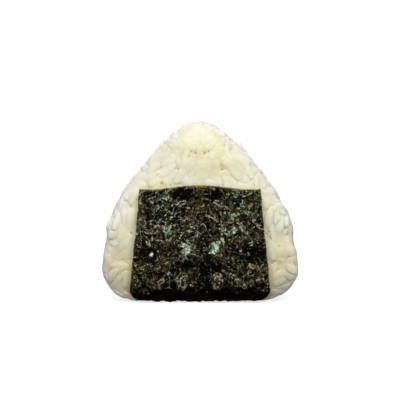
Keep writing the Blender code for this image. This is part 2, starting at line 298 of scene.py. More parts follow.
def outline(shares):
    """Points (x, z) at these shares of the outline's length: centre + radius * (cos a, sin a) along a
    chain of tangent arcs, from the middle of the base anticlockwise. The base is a corner circle that
    slides."""
    apex = np.array([0.0, CORE_TOP - APEX_RADIUS])
    corner = np.array([CORNER_X, CORE_BASE + CORNER_RADIUS])
    side = side_arc_centre(apex, corner)
    up_side = math.atan2(*(corner - side)[::-1])
    up_apex = math.atan2(*(apex - side)[::-1])
    mirror = np.array([-1.0, 1.0])
    middle = np.array([0.0, corner[1]])
    down = -math.pi / 2
    left = math.pi
    right_half = [
        (middle, corner, CORNER_RADIUS, down, down),
        (corner, corner, CORNER_RADIUS, down, up_side),
        (side, side, SIDE_RADIUS, up_side, up_apex),
        (apex, apex, APEX_RADIUS, up_apex, math.pi / 2),
    ]
    left_half = [
        (end * mirror, start * mirror, radius, left - stop, left - begin)
        for start, end, radius, begin, stop in reversed(right_half)
    ]
    starts, stops, radii, begins, finishes = (
        np.array(column) for column in zip(*(right_half + left_half))
    )
    lengths = radii * (finishes - begins) + np.hypot(*(stops - starts).T)
    ends = np.concatenate([[0.0], np.cumsum(lengths)])
    at = (np.asarray(shares) % 1.0) * ends[-1]
    index = np.clip(np.searchsorted(ends, at, side="right") - 1, 0, len(lengths) - 1)
    part = (at - ends[index]) / lengths[index]
    centre = starts[index] + part[:, None] * (stops[index] - starts[index])
    angle = begins[index] + part * (finishes[index] - begins[index])
    return centre + radii[index][:, None] * np.column_stack([np.cos(angle), np.sin(angle)])


def section(count):
    """The pillow's section from its front middle to its back middle in equal steps: reach = cos(t)^(2/n)
    of the outline's size and height = sin(t)^(2/n) of the half thickness, a superellipse of power n."""
    turn = np.linspace(-math.pi / 2, math.pi / 2, 4001)
    reach = np.cos(turn).clip(0) ** (2 / PILLOW_POWER)
    height = np.sign(turn) * np.abs(np.sin(turn)) ** (2 / PILLOW_POWER)
    steps = np.hypot(np.diff(reach) * CORE_TOP / 2, np.diff(height) * HALF_THICKNESS)
    return evenly(count, steps, reach, height)


def core_surface(columns, rings):
    """Points of the core, (rings, columns, 3): middle + reach * (outline - middle) seen from the front,
    y = height * half thickness, moved outwards by the lumps, with the underside cut flat. Also the
    directions that point outwards."""
    middle = np.array([0.0, PILLOW_CENTRE_Z])
    edge = outline(np.arange(columns) / columns) - middle
    reach, height = section(rings)
    flat = middle + reach[:, None, None] * edge
    depth = (height * HALF_THICKNESS)[:, None] + np.zeros(columns)
    points = np.stack([flat[:, :, 0], depth, flat[:, :, 1]], axis=-1)
    out = np.cross(np.gradient(points, axis=0), step_round(points))
    out[0] = (0, -1, 0)
    out[-1] = (0, 1, 0)
    out = unit(out)
    points += out * lumps(points)[..., None]
    points[:, :, 2] = points[:, :, 2].clip(FLAT_BASE_Z)
    return points, out


def outline_share(x, z):
    """How far (x, z) lies from the pillow's middle, as a share of the way to the outline."""
    points = outline(np.linspace(0, 1, 4001)[:-1]) - [0.0, PILLOW_CENTRE_Z]
    angle = np.arctan2(points[:, 1], points[:, 0])
    order = np.argsort(angle)
    towards = np.arctan2(z - PILLOW_CENTRE_Z, x)
    reach = np.interp(towards, angle[order], np.hypot(*points.T)[order], period=math.tau)
    return np.hypot(x, z - PILLOW_CENTRE_Z) / reach


def half_thickness(x, z):
    """How far the core reaches from its middle plane: HALF_THICKNESS * (1 - outline share^n)^(1/n)."""
    share = outline_share(x, z).clip(0, 1)
    return HALF_THICKNESS * (1 - share**PILLOW_POWER) ** (1 / PILLOW_POWER)


def swell(points):
    """(outline share^n + depth share^n)^(1/n): 1 on the bare core, less inside it, more outside it."""
    share = outline_share(points[..., 0], points[..., 2])
    depth = np.abs(points[..., 1]) / HALF_THICKNESS
    return (share**PILLOW_POWER + depth**PILLOW_POWER) ** (1 / PILLOW_POWER)


def height_over_core(points):
    """Height of points over the core with its lumps, (swell - 1) / |slope of swell|, and the direction
    in which it grows."""
    step = 0.05 * MM
    slope = np.stack([
        (swell(points + step * axis) - swell(points - step * axis)) / (2 * step) for axis in np.eye(3)
    ], axis=-1)
    steep = np.linalg.norm(slope, axis=-1)
    return (swell(points) - 1) / steep - lumps(points), slope / steep[..., None]


def flat_share(points):
    """1 on the middle of the pressed faces, 0 out on the rim."""
    edge = half_thickness(points[..., 0], points[..., 2]) / HALF_THICKNESS
    return ((edge - FLAT_FROM) / FLAT_SPAN).clip(0, 1)


def lumps(points):
    """The hand-pressed unevenness of the core: the mean of sines that run in different directions, and
    on the rim a profile over the height that sways across the thickness. All fades out at the nori."""
    rng = np.random.default_rng(LUMP_SEED)
    total = 0
    for length in LUMP_LENGTHS:
        for _ in range(2):
            way = rng.normal(0, 1, 3)
            way /= np.linalg.norm(way)
            start = rng.uniform(0, math.tau)
            total = total + np.sin(math.tau * (points @ way) / length + start)
    free = (-depth_under_nori(points) / LUMPS_NEAR_NORI).clip(0, 1)
    heights, sizes = MM * np.array(RIM_LUMPS).T
    turn = math.tau * points[..., 1] / RIM_SWAY_LENGTH + np.sign(points[..., 0])
    level = points[..., 2] + RIM_SWAY * np.sin(turn)
    rim = np.interp(level, heights, sizes) * (1 - flat_share(points))
    return (LUMP_HEIGHT * total / (2 * len(LUMP_LENGTHS)) + rim) * free


def nori_half_width(z):
    """Half the strip's width: it widens from its top edge down to just above the base, where its corners
    round in: (1 - (1 - share of the height)^2)^0.7."""
    up = (z - NORI_WIDEST_Z) / (NORI_TOP_Z - NORI_WIDEST_Z)
    low = ((z - FLAT_BASE_Z) / (NORI_WIDEST_Z - FLAT_BASE_Z)).clip(0, 1)
    down = (1 - (1 - low) ** 2) ** 0.7
    above = NORI_HALF_WIDTH_WIDEST + (NORI_HALF_WIDTH_TOP - NORI_HALF_WIDTH_WIDEST) * up.clip(0, 1)
    below = NORI_HALF_WIDTH_UNDER + (NORI_HALF_WIDTH_WIDEST - NORI_HALF_WIDTH_UNDER) * down
    return np.where(z > NORI_WIDEST_Z, above, below)


def nori_top(x):
    """Height of the strip's top edge: level at its corners, with a low arch over the middle."""
    return NORI_TOP_Z + NORI_TOP_ARCH * (1 - (x / NORI_ARCH_REACH) ** 2).clip(0) ** 1.5


def depth_under_nori(points):
    """How far inside the strip's outline a point lies, negative outside it: the nearer of its edges."""
    x, z = points[..., 0], points[..., 2]
    return np.minimum(nori_half_width(z) - np.abs(x), nori_top(x) - z)


def beside_nori(points):
    """1 at the strip's side edges, 0 from STAIN_AND_SHADE_REACH away from them and above the strip."""
    x, z = points[..., 0], points[..., 2]
    near = fade((1 + (nori_half_width(z) - np.abs(x)) / STAIN_AND_SHADE_REACH).clip(0, 1))
    return near * ((NORI_TOP_Z - z) / (2 * STAIN_AND_SHADE_REACH)).clip(0, 1)


# Grains

def rice_spots(clearance):
    """Points of the coarse core, their outward directions, and the chance of each to be picked: its share
    of the area that lies more than the clearance outside the strip."""
    points, out = core_surface(LAYING_COLUMNS, LAYING_RINGS)
    area = np.linalg.norm(np.cross(step_round(points), np.gradient(points, axis=0)), axis=-1)
    chance = (area * (depth_under_nori(points) < -clearance)).reshape(-1)
    return points.reshape(-1, 3), out.reshape(-1, 3), chance / chance.sum()


def lay_grains(rng):
    """Grains laid flat on the core one by one, the longest first, each where it finds room. A grain is a
    row: its place, its long direction, its outward direction, its length."""
    points, out, chance = rice_spots(GRAIN_HALF_WIDTH * START_CLEARANCE)
    spots = np.linspace(-1, 1, AXIS_SPOTS)[:, None]
    axes = np.empty((0, AXIS_SPOTS, 3))
    grains = []
    for length in TOP_LENGTHS:
        picked = rng.choice(len(points), TRIES_PER_LENGTH, p=chance)
        turns = rng.uniform(0, math.pi, TRIES_PER_LENGTH)
        for index, turn in zip(picked, turns):
            along = lying_direction(out[index], turn)
            axis = points[index] + spots * (length / 2 - GRAIN_HALF_WIDTH) * along
            if (depth_under_nori(axis) > -GRAIN_HALF_WIDTH * NORI_CLEARANCE).any():
                continue
            if len(axes) and closer(axes, axis, TOP_GAP):
                continue
            if np.linalg.norm(axis[:, None, ::2] - PIT_PLACES, axis=-1).min() < OPEN_SPOT:
                continue
            axes = np.concatenate([axes, axis[None]])
            grains.append(np.concatenate([points[index], along, out[index], [length]]))
    return np.array(grains)


def lying_direction(out, turn):
    """The direction at this turn in the plane across the outward direction."""
    first = np.cross(out, (0.0, 0.0, 1.0) if abs(out[2]) < 0.9 else (1.0, 0.0, 0.0))
    first /= np.linalg.norm(first)
    return math.cos(turn) * first + math.sin(turn) * np.cross(out, first)


def closer(axes, axis, gap):
    """Whether any spot on these axes lies closer than the gap to a spot on this one."""
    apart = np.abs(axes[:, AXIS_SPOTS // 2] - axis[AXIS_SPOTS // 2]).max(axis=-1)
    near = axes[apart < AXES_IN_REACH]
    if not len(near):
        return False
    return np.linalg.norm(near[:, :, None] - axis, axis=-1).min() < gap


def under_grains(rng):
    """Grains of the layer below, anywhere that rice shows, as rows like those of lay_grains."""
    points, out, chance = rice_spots(0)
    picked = rng.choice(len(points), UNDER_COUNT, p=chance)
    turns = rng.uniform(0, math.pi, UNDER_COUNT)
    return np.array([
        np.concatenate([points[i], lying_direction(out[i], turn), out[i], [UNDER_LENGTH]])
        for i, turn in zip(picked, turns)
    ])


def grain_frames(grains, sunk, rng):
    """Centres (n, 3), frames (n, 3, 3) of long, wide and outward directions, and half sizes (n, 3)."""
    count = len(grains)
    place, along, out, length = grains[:, :3], grains[:, 3:6], grains[:, 6:9], grains[:, 9]
    tilt = GRAIN_TILT * rng.normal(0, 1, count)[:, None]
    along = unit(along + tilt * out)
    wide = unit(np.cross(out, along))
    high = np.cross(along, wide)
    girth = 1 + GRAIN_SIZE_SPREAD * rng.uniform(-1, 1, count)
    sizes = np.stack([length / 2, GRAIN_HALF_WIDTH * girth, GRAIN_HALF_HEIGHT * girth], axis=-1)
    depth = sunk * (1 + SUNK_SPREAD * rng.uniform(-1, 1, count))
    return place - depth[:, None] * out, np.stack([along, wide, high], axis=1), sizes


def grain_points(centres, frames, sizes, rng):
    """Points of every grain, (n, rings, sides, 3), for s from -1 to 1 and the angle a round the grain:
    radius r(s) = (1 - |s|^power)^0.5 * (1 + lean * s), across = r cos(a) + bend * (s^2 - 1/3) and
    up = r sin(a), scaled by its half sizes and turned by its frame. The end rings close on a point."""
    count = len(centres)
    bend = rng.uniform(-GRAIN_BEND, GRAIN_BEND, count)[:, None, None]
    lean = rng.uniform(-GRAIN_LEAN, GRAIN_LEAN, count)[:, None, None]
    turn = np.linspace(-math.pi / 2, math.pi / 2, GRAIN_RINGS + 2)
    s = np.sin(turn)[None, :, None]
    a = (math.tau * np.arange(GRAIN_SIDES) / GRAIN_SIDES)[None, None, :]
    radius = np.sqrt((1 - np.abs(s) ** GRAIN_POWER).clip(0)) * (1 + lean * s)
    local = np.stack([
        s + 0 * a + 0 * radius,
        radius * np.cos(a) + bend * (s**2 - 1 / 3),
        radius * np.sin(a),
    ], axis=-1)
    return centres[:, None, None] + np.einsum("nrsk,nkd->nrsd", local * sizes[:, None, None], frames)


def press_room(points):
    """How far rice may stand over the core: more on the rim than on the pressed faces, and little where
    the strip begins."""
    room = PRESS_ROOM + (PRESS_ROOM_FLAT - PRESS_ROOM) * flat_share(points)
    return room * (-depth_under_nori(points) / PRESS_NEAR_NORI).clip(LEAST_ROOM, 1)


def eased(height, room):
    """Pressing: room * (1 - exp(-height / softness)) above the core, and straight on below it."""
    above = room * (1 - np.exp(-height.clip(0) / PRESS_SOFTNESS))
    return above + height.clip(max=0) * room / PRESS_SOFTNESS


def pressed(points, rise):
    """Grains flattened by the hands that pressed them, each raised a little, and kept off the table."""
    height, out = height_over_core(points)
    room = press_room(points)
    moved = points + (eased(height, room) - height + rise * room / PRESS_ROOM)[..., None] * out
    moved[..., 2] = moved[..., 2].clip(LOWEST_RICE_Z)
    return moved


def grain_lift(points, centre, frame, size):
    """How high one grain's upper surface stands over points of the core, along the grain's own up
    direction, with q = 1 - |x|^power - y^2 in its own sizes and height = q / sqrt(k + (1 - k) |q|)."""
    local = (points - centre) @ frame.T
    q = 1 - (np.abs(local[:, 0]) / size[0]) ** GRAIN_POWER - (local[:, 1] / size[1]) ** 2
    softened = np.sqrt(LIFT_SOFTNESS + (1 - LIFT_SOFTNESS) * np.abs(q))
    return size[2] * q / softened - local[:, 2]


def relief(points, layers):
    """Height of the rice over the bare core, where the grains of all layers flow together: k log(sum of
    exp(height / k)). Also a tint for each point, blended from the grains by the same weights, and seams,
    1 - (sum of squared weights) / (sum of weights)^2, which are high where grains meet."""
    total = np.exp(np.full(len(points), RELIEF_FLOOR / FUSING))
    squares = total**2
    tint = FLOOR_TINT * total
    room = press_room(points)
    order = np.argsort(points[:, 2])
    heights = points[order, 2]
    for centres, frames, sizes, tints, levels in layers:
        for centre, frame, size, own, level in zip(centres, frames, sizes, tints, levels):
            reach = size[0] + RELIEF_MARGIN
            low, high = np.searchsorted(heights, [centre[2] - reach, centre[2] + reach])
            near = order[low:high]
            near = near[((points[near] - centre) ** 2).sum(-1) < reach**2]
            lift = eased(grain_lift(points[near], centre, frame, size), room[near])
            weight = np.exp((lift + level * room[near] / PRESS_ROOM) / FUSING)
            total[near] += weight
            squares[near] += weight**2
            tint[near] += own * weight
    return FUSING * np.log(total), tint / total, 1 - squares / total**2


def pits(points, height, rng):
    """Small holes between grains: exp(-(distance / radius)^2) around some of the lowest points and around
    the placed ones."""
    free = depth_under_nori(points) < -PIT_CLEARANCE
    low = np.flatnonzero(free & (height < np.quantile(height[free], PIT_LOW_SHARE)))
    hole = np.zeros(len(points))
    placed = [np.argmin(((points - (x, -HALF_THICKNESS, z)) ** 2).sum(-1)) for x, z in PIT_PLACES]
    chosen = np.concatenate([placed, rng.choice(low, PIT_COUNT)])
    sizes = rng.uniform(*PIT_SIZES, len(chosen))
    sizes[:len(placed)] *= PLACED_PIT_SIZE
    for index, size in zip(chosen, sizes):
        distance = ((points - points[index]) ** 2).sum(-1)
        hole = np.maximum(hole, min(size, 1) * np.exp(-distance / (size * PIT_RADIUS) ** 2))
    return hole


# Meshes

def grid_faces(rows, columns, closed):
    """Quads between the rows and columns of a grid of points, all turned the same way."""
    index = np.arange(rows * columns).reshape(rows, columns)
    if closed:
        index = np.concatenate([index, index[:, :1]], axis=1)
    a, b, c, d = index[:-1, :-1], index[:-1, 1:], index[1:, 1:], index[1:, :-1]
    return np.stack([a, b, c, d], axis=-1).reshape(-1, 4)


def closed_faces(rings, columns):
    """Quads between the rings, and triangles at the ends, of a round body whose points are a pole, the
    rings and the other pole."""
    column = np.arange(columns)
    after = (column + 1) % columns
    final = 1 + (rings - 1) * columns
    quads = grid_faces(rings, columns, closed=True) + 1
    first = np.stack([0 * column, 1 + after, 1 + column], -1)
    last = np.stack([0 * column + final + columns, final + column, final + after], -1)
    return quads, np.concatenate([first, last])


def make_mesh(name, points, faces, fields=None, uv=None):
    """A smooth object from points and faces, with a number for each point in each of the named fields."""
    mesh = bpy.data.meshes.new(name)
    mesh.from_pydata(np.asarray(points).tolist(), [], faces)
    for title, numbers in (fields or {}).items():
        layer = mesh.attributes.new(title, "FLOAT", "POINT")
        layer.data.foreach_set("value", np.asarray(numbers, np.float32).ravel())
    if uv is not None:
        corner = np.empty(len(mesh.loops), np.int32)
        mesh.loops.foreach_get("vertex_index", corner)
        flat = mesh.uv_layers.new(name="flat")
        flat.data.foreach_set("uv", np.asarray(uv, np.float32)[corner].ravel())
    mesh.shade_smooth()
    mesh.update()
    made = bpy.data.objects.new(name, mesh)
    bpy.context.scene.collection.objects.link(made)
    return made


def rice_fields(points, tint, height, seam, upturned, pit):
    """What the finish of the rice reads at each point."""
    return {
        "tint": tint,
        "height": height / MM,
        "flat_face": flat_share(points),
        "seam": seam,
        "upturned": upturned,
        "beside": beside_nori(points),
        "pit": pit,
    }


def rice_core(layers, rng):
    """The core with both layers of grains as relief and the pits between them."""
    points, out = core_surface(CORE_COLUMNS, CORE_RINGS)
    shape = points.shape
    flat = points.reshape(-1, 3)
    height, tint, seam = relief(flat, layers)
    hole = pits(flat, height, rng)
    covered = (depth_under_nori(flat) / COVER_REACH).clip(0, 1)
    height = (height - PIT_DEPTH * hole) * (1 - covered)
    moved = flat + out.reshape(-1, 3) * height[:, None]
    moved[:, 2] = moved[:, 2].clip(LOWEST_RICE_Z)
    grid = moved.reshape(shape)
    grid[0] = grid[0].mean(0)
    grid[-1] = grid[-1].mean(0)
    quads, triangles = closed_faces(CORE_RINGS - 2, CORE_COLUMNS)
    faces = quads[:, ::-1].tolist() + triangles[:, [0, 2, 1]].tolist()

    def spread(numbers):
        """The values of the rings, with a single one for each pole."""
        table = numbers.reshape(*shape[:2], -1)
        return np.concatenate([table[0, :1], table[1:-1].reshape(-1, table.shape[-1]), table[-1, :1]])

    fields = rice_fields(flat, tint, height, seam, 0 * seam, hole)
    spread_fields = {title: spread(numbers) for title, numbers in fields.items()}
    return make_mesh("rice_core", spread(grid), faces, spread_fields)


def grain_shading(frames):
    """For each point of every grain its seam, 0 on the crown and 1 low on the sides and at the ends, and
    how far it faces up: the upward share of cos(t) (wide cos a + high sin a) + sin(t) long, with the
    turns t along the grain and a round it."""
    long_up = frames[:, 0, 2:]
    turn = np.linspace(-math.pi / 2, math.pi / 2, GRAIN_RINGS + 2)[1:-1]
    around = math.tau * np.arange(GRAIN_SIDES) / GRAIN_SIDES
    crown = np.cos(turn)[:, None] * np.sin(around)
    seam = np.concatenate([[1.0], ((SEAM_BELOW - crown) / SEAM_SPAN).clip(0, 1).ravel(), [1.0]])
    across_up = frames[:, 1, 2:] * np.cos(around) + frames[:, 2, 2:] * np.sin(around)
    upturned = np.cos(turn)[:, None] * across_up[:, None] + (np.sin(turn) * long_up)[..., None]
    upturned = np.concatenate([-long_up, upturned.reshape(len(frames), -1), long_up], axis=1)
    return np.tile(seam, len(frames)), upturned


def rice_grains(centres, frames, sizes, tints, levels, rng):
    """The top layer's grains as one object of closed bodies."""
    points = pressed(grain_points(centres, frames, sizes, rng), (GRAIN_RISE + levels)[:, None, None])
    count = len(points)
    points[:, 0] = points[:, 0].mean(1, keepdims=True)
    points[:, -1] = points[:, -1].mean(1, keepdims=True)
    middle = points[:, 1:-1].reshape(count, -1, 3)
    body = np.concatenate([points[:, 0, :1], middle, points[:, -1, :1]], axis=1)
    per_grain = body.shape[1]
    quads, triangles = closed_faces(GRAIN_RINGS, GRAIN_SIDES)
    shift = (np.arange(count) * per_grain)[:, None, None]
    faces = (quads + shift).reshape(-1, 4).tolist() + (triangles + shift).reshape(-1, 3).tolist()
    flat = body.reshape(-1, 3)
    seam, upturned = grain_shading(frames)
    height = height_over_core(flat)[0]
    fields = rice_fields(flat, np.repeat(tints, per_grain), height, seam, upturned, 0 * seam)
    return make_mesh("rice_grains", flat, faces, fields)


# Nori

def gradient_noise(u, v, cell, seed):
    """Gradient noise from about -1 to 1: at each corner of the square cells a random slope, and the four
    slopes' heights blended with 6t^5 - 15t^4 + 10t^3."""
    a, b = (u - u.min()) / cell, (v - v.min()) / cell
    i, j = a.astype(int), b.astype(int)
    size = (i.max() + 2, j.max() + 2)
    angle = np.random.default_rng(seed).uniform(0, math.tau, size)
    s, t = a - i, b - j

    def corner(di, dj):
        turn = angle[i + di, j + dj]
        return np.cos(turn) * (s - di) + np.sin(turn) * (t - dj)

    low = corner(0, 0) * (1 - fade(s)) + corner(1, 0) * fade(s)
    high = corner(0, 1) * (1 - fade(s)) + corner(1, 1) * fade(s)
    return 1.5 * (low * (1 - fade(t)) + high * fade(t))


def guide(count):
    """Half the strip's path at x = 0, from the middle of the base up the front to its top edge, in
    equal steps: distance out from the middle plane, and height."""
    reach, height = (half[:4001] for half in section(8001))
    z = (PILLOW_CENTRE_Z - reach * (PILLOW_CENTRE_Z - CORE_BASE)).clip(FLAT_BASE_Z)
    depth = -height * HALF_THICKNESS
    up_z = np.linspace(PILLOW_CENTRE_Z, NORI_TOP_Z, 2000)[1:]
    z = np.concatenate([z[::-1], up_z])
    depth = np.concatenate([depth[::-1], half_thickness(0 * up_z, up_z)])
    return evenly(count, np.hypot(np.diff(z), np.diff(depth)), depth, z)


def nori_inner_face():
    """Points on the bare core under the strip, (rows, columns, 3), from the front's top edge round the
    base to the back's: each row is a point of the guide, slid inwards at each column onto the core."""
    depth, height = guide(NORI_ROWS // 2 + 1)
    turned = np.array([np.gradient(height), -np.gradient(depth)])
    out_y, out_z = turned / np.hypot(*turned)
    across = np.linspace(-1, 1, NORI_COLUMNS + 1)
    x = across * nori_half_width(height)[:, None]
    share = np.arange(len(height)) / (len(height) - 1)
    lift = (nori_top(x) - NORI_TOP_Z) * share[:, None] ** 4

    def slid(by):
        return depth[:, None] + by * out_y[:, None], height[:, None] + lift + by * out_z[:, None]

    low, high = (np.full(x.shape, limit) for limit in SLIDE_RANGE)
    for _ in range(SLIDE_HALVINGS):
        middle = (low + high) / 2
        y, z = slid(middle)
        inside = (y < half_thickness(x, z)) & (z > FLAT_BASE_Z)
        low = np.where(inside, middle, low)
        high = np.where(inside, high, middle)
    y, z = slid(low)
    front = np.stack([x, -y, z], axis=-1)
    back = np.stack([x, y, z], axis=-1)
    return np.concatenate([front[:0:-1], back])


def nori_waves(inner, along):
    """How far the strip stands off the core: sines that run in different directions over the strip,
    fading out at its side edges and towards the flat base."""
    rng = np.random.default_rng(NORI_SEED)
    total = 0
    for length in NORI_WAVE_LENGTHS:
        turn = rng.uniform(0, math.pi)
        start = rng.uniform(0, math.tau)
        run = inner[..., 0] * math.cos(turn) + along * math.sin(turn)
        total = total + np.sin(math.tau * run / length + start)
    height = 0.5 + 0.5 * total / len(NORI_WAVE_LENGTHS)
    across = np.linspace(-1, 1, inner.shape[1])
    still, free = NORI_CALM_Z
    rise = ((inner[..., 2] - still) / (free - still)).clip(0, 1)
    return NORI_WAVE * height * (1 - across**4) * rise


def flakes(u, v, cell, tilt, seed):
    """Small facets of the sheet, each with its own slope: around every point of a jittered lattice the
    height is slope . offset, and neighbours blend by weights exp(-8 d^2 / cell^2)."""
    a, b = (u - u.min()) / cell, (v - v.min()) / cell
    i, j = a.astype(int) + 1, b.astype(int) + 1
    rng = np.random.default_rng(seed)
    table = rng.uniform(-1, 1, (4, i.max() + 2, j.max() + 2))
    total = height = 0
    for di in (-1, 0, 1):
        for dj in (-1, 0, 1):
            jitter_a, jitter_b, slope_a, slope_b = table[:, i + di, j + dj]
            off_a = a - (i + di - 0.5 + 0.45 * jitter_a)
            off_b = b - (j + dj - 0.5 + 0.45 * jitter_b)
            weight = np.exp(-8 * (off_a**2 + off_b**2))
            total = total + weight
            height = height + weight * (slope_a * off_a + slope_b * off_b)
    return tilt * cell * height / total


def crinkles(u, v):
    """Wrinkles of the damp sheet: facets, and narrow crests 1 - |noise| along the lines where a noise
    crosses zero, all on places that a slower noise has shifted. Heights in metres, crests from 0 to 1."""
    shifted = [
        place + CRINKLE_SHIFT * gradient_noise(u, v, CRINKLE_SHIFT_CELL, seed)
        for place, seed in zip((u, v), CRINKLE_SHIFT_SEEDS)
    ]
    height = crest = 0
    for cell, tall, seed in CRESTS:
        narrow = 1 - np.abs(gradient_noise(*shifted, cell, seed))
        height = height + tall * narrow**3
        crest = crest + narrow**4 / len(CRESTS)
    for cell, steep, seed in FACETS:
        height = height + flakes(*shifted, cell, steep, seed)
    return height, crest


def marked(inner, marks, seed):
    """Sum of strength * exp(-(sideways / reach)^2 - (upwards / reach)^2) over the marks on the front,
    and over as many scattered ones of the same sizes on the back."""
    x, y, z = np.abs(inner[..., 0]), inner[..., 1], inner[..., 2]
    rng = np.random.default_rng(seed)
    total = 0 * x
    for off, height, wide, tall, strength in MM * np.array(marks):
        front = np.exp(-(((x - off) / wide) ** 2) - ((z - height) / tall) ** 2)
        behind = 0
        for side in (-1, 1):
            level = height if wide > WIDER_THAN_STRIP else rng.uniform(*BACK_MARKS_HEIGHT) * MM
            across = (inner[..., 0] - side * rng.uniform(*BACK_MARKS_OFF) * MM) / wide
            behind = behind + np.exp(-(across**2) - ((z - level) / tall) ** 2)
        total += strength / MM * np.where(y < 0, front, behind)
    return total


def looped(inner):
    """1 along the curled rings, near 0 from 0.5 mm off. With r = |(across / half width, along / half
    length)| a point lies about (r - 1) / |slope of r| off a ring. The back has as many scattered ones."""
    rng = np.random.default_rng(LOOP_SEED)
    total = 0 * inner[..., 0]
    for off, height, wide, long, lean in NORI_LOOPS:
        places = [(-off, height, lean, -1), (off, height, -lean, -1)]
        for _ in range(2):
            places.append((*[rng.uniform(*limits) for limits in BACK_LOOPS], 1))
        for x, z, turned, face in places:
            turn = math.radians(turned)
            right, up = inner[..., 0] - x * MM, inner[..., 2] - z * MM
            across = (right * math.cos(turn) - up * math.sin(turn)) / (wide * MM)
            along = (right * math.sin(turn) + up * math.cos(turn)) / (long * MM)
            r = np.hypot(across, along).clip(0.05)
            off_ring = (r - 1) * r / np.hypot(across / (wide * MM), along / (long * MM)).clip(1.0)
            ring = np.exp(-((off_ring / LOOP_WIDTH) ** 2)) * (inner[..., 1] * face > 0)
            total = np.maximum(total, ring)
    return total


def frayed(run, fraying):
    """How far an edge stands out, by the way run along it."""
    return sum(reach * gradient_noise(run, 0 * run, cell, seed) for reach, cell, seed in fraying)


def sheet_faces(rows, columns):
    """Both faces and the walls of a closed sheet whose points are its lower grid and then its upper."""
    size = rows * columns
    index = np.arange(size).reshape(rows, columns)
    faces = grid_faces(rows, columns, closed=False)
    rim = np.concatenate([index[0], index[1:, -1], index[-1, -2::-1], index[-2:0:-1, 0]])
    onward = np.roll(rim, -1)
    walls = np.stack([rim, rim + size, onward + size, onward], -1)
    return np.concatenate([faces, faces[:, ::-1] + size, walls])


def nori_sheet():
    """The strip as a thin closed sheet that stands a little off the core, crinkled and frayed."""
    inner = nori_inner_face()
    normal = unit(np.cross(np.gradient(inner, axis=0), np.gradient(inner, axis=1)))
    step = np.linalg.norm(np.diff(inner, axis=0), axis=-1)
    along = np.concatenate([np.zeros((1, inner.shape[1])), np.cumsum(step, axis=0)])
    u, v = inner[..., 0], along
    height, crest = crinkles(u, v)
    loop = looped(inner)
    height = height + LOOP_RISE * loop
    end = np.minimum(along, along[-1] - along)
    edge = np.minimum(nori_half_width(inner[..., 2]) - np.abs(u), end)
    loose = CLINGING + (1 - CLINGING) * fade((edge / CLING_REACH).clip(0, 1))
    stand = (NORI_GAP + nori_waves(inner, along) + height - SHEET_SETTLED).clip(SHEET_LOWEST)
    stand = SHEET_LOWEST + (stand - SHEET_LOWEST) * loose
    lower = inner + normal * stand[..., None]
    upper = lower + normal * NORI_THICKNESS
    ragged = frayed(along, SIDE_FRAYING)
    fringe = frayed(u, END_FRAYING)
    for face in (lower, upper):
        face[:, 0, 0] -= ragged[:, 0]
        face[:, -1, 0] += ragged[:, -1]
        face[0, :, 2] += fringe[0]
        face[-1, :, 2] += fringe[-1]
    lower[..., 2] = lower[..., 2].clip(LOWER_FACE_Z)
    upper[..., 2] = upper[..., 2].clip(0)
    points = np.concatenate([lower.reshape(-1, 3), upper.reshape(-1, 3)])
    fields = {
        "crest": crest,
        "edge": (edge / MM).clip(0, 4),
        "end": (end / MM).clip(0, 4),
        "loop": loop,
    }
    for seed, (title, marks) in enumerate(NORI_MARKS.items(), FIRST_MARK_SEED):
        fields[title] = marked(inner, marks, seed)
    on_both_faces = {title: np.tile(numbers.ravel(), 2) for title, numbers in fields.items()}
    uv = np.tile(np.stack([u.ravel(), v.ravel()], -1), (2, 1))
    return make_mesh("nori_sheet", points, sheet_faces(*u.shape).tolist(), on_both_faces, uv)


# Finishes

class Field:
    """A number that varies over a surface: an output socket of a finish's nodes."""

    def __init__(self, finish, socket):
        self.finish = finish
        self.socket = socket

    def maths(self, operation, *values, clamp=False):
        settings = {"operation": operation, "use_clamp": clamp}
        return self.finish.node("ShaderNodeMath", settings, dict(enumerate(values)))

    def __add__(self, other):
        return self.maths("ADD", self, other)

    __radd__ = __add__

    def __sub__(self, other):
        return self.maths("SUBTRACT", self, other)

    def __rsub__(self, other):
        return self.maths("SUBTRACT", other, self)

    def __mul__(self, other):
        return self.maths("MULTIPLY", self, other)

    __rmul__ = __mul__

    def size(self):
        """The number without its sign."""
        return self.maths("ABSOLUTE", self)

    def clamped(self):
        """The number held between 0 and 1."""
        return self.maths("ADD", self, 0.0, clamp=True)

    def between(self, low, high):
        """0 below low, 1 above high, and a smooth step from the one to the other."""
        values = {"Value": self, "From Min": low, "From Max": high}
        return self.finish.node("ShaderNodeMapRange", {"interpolation_type": "SMOOTHSTEP"}, values)


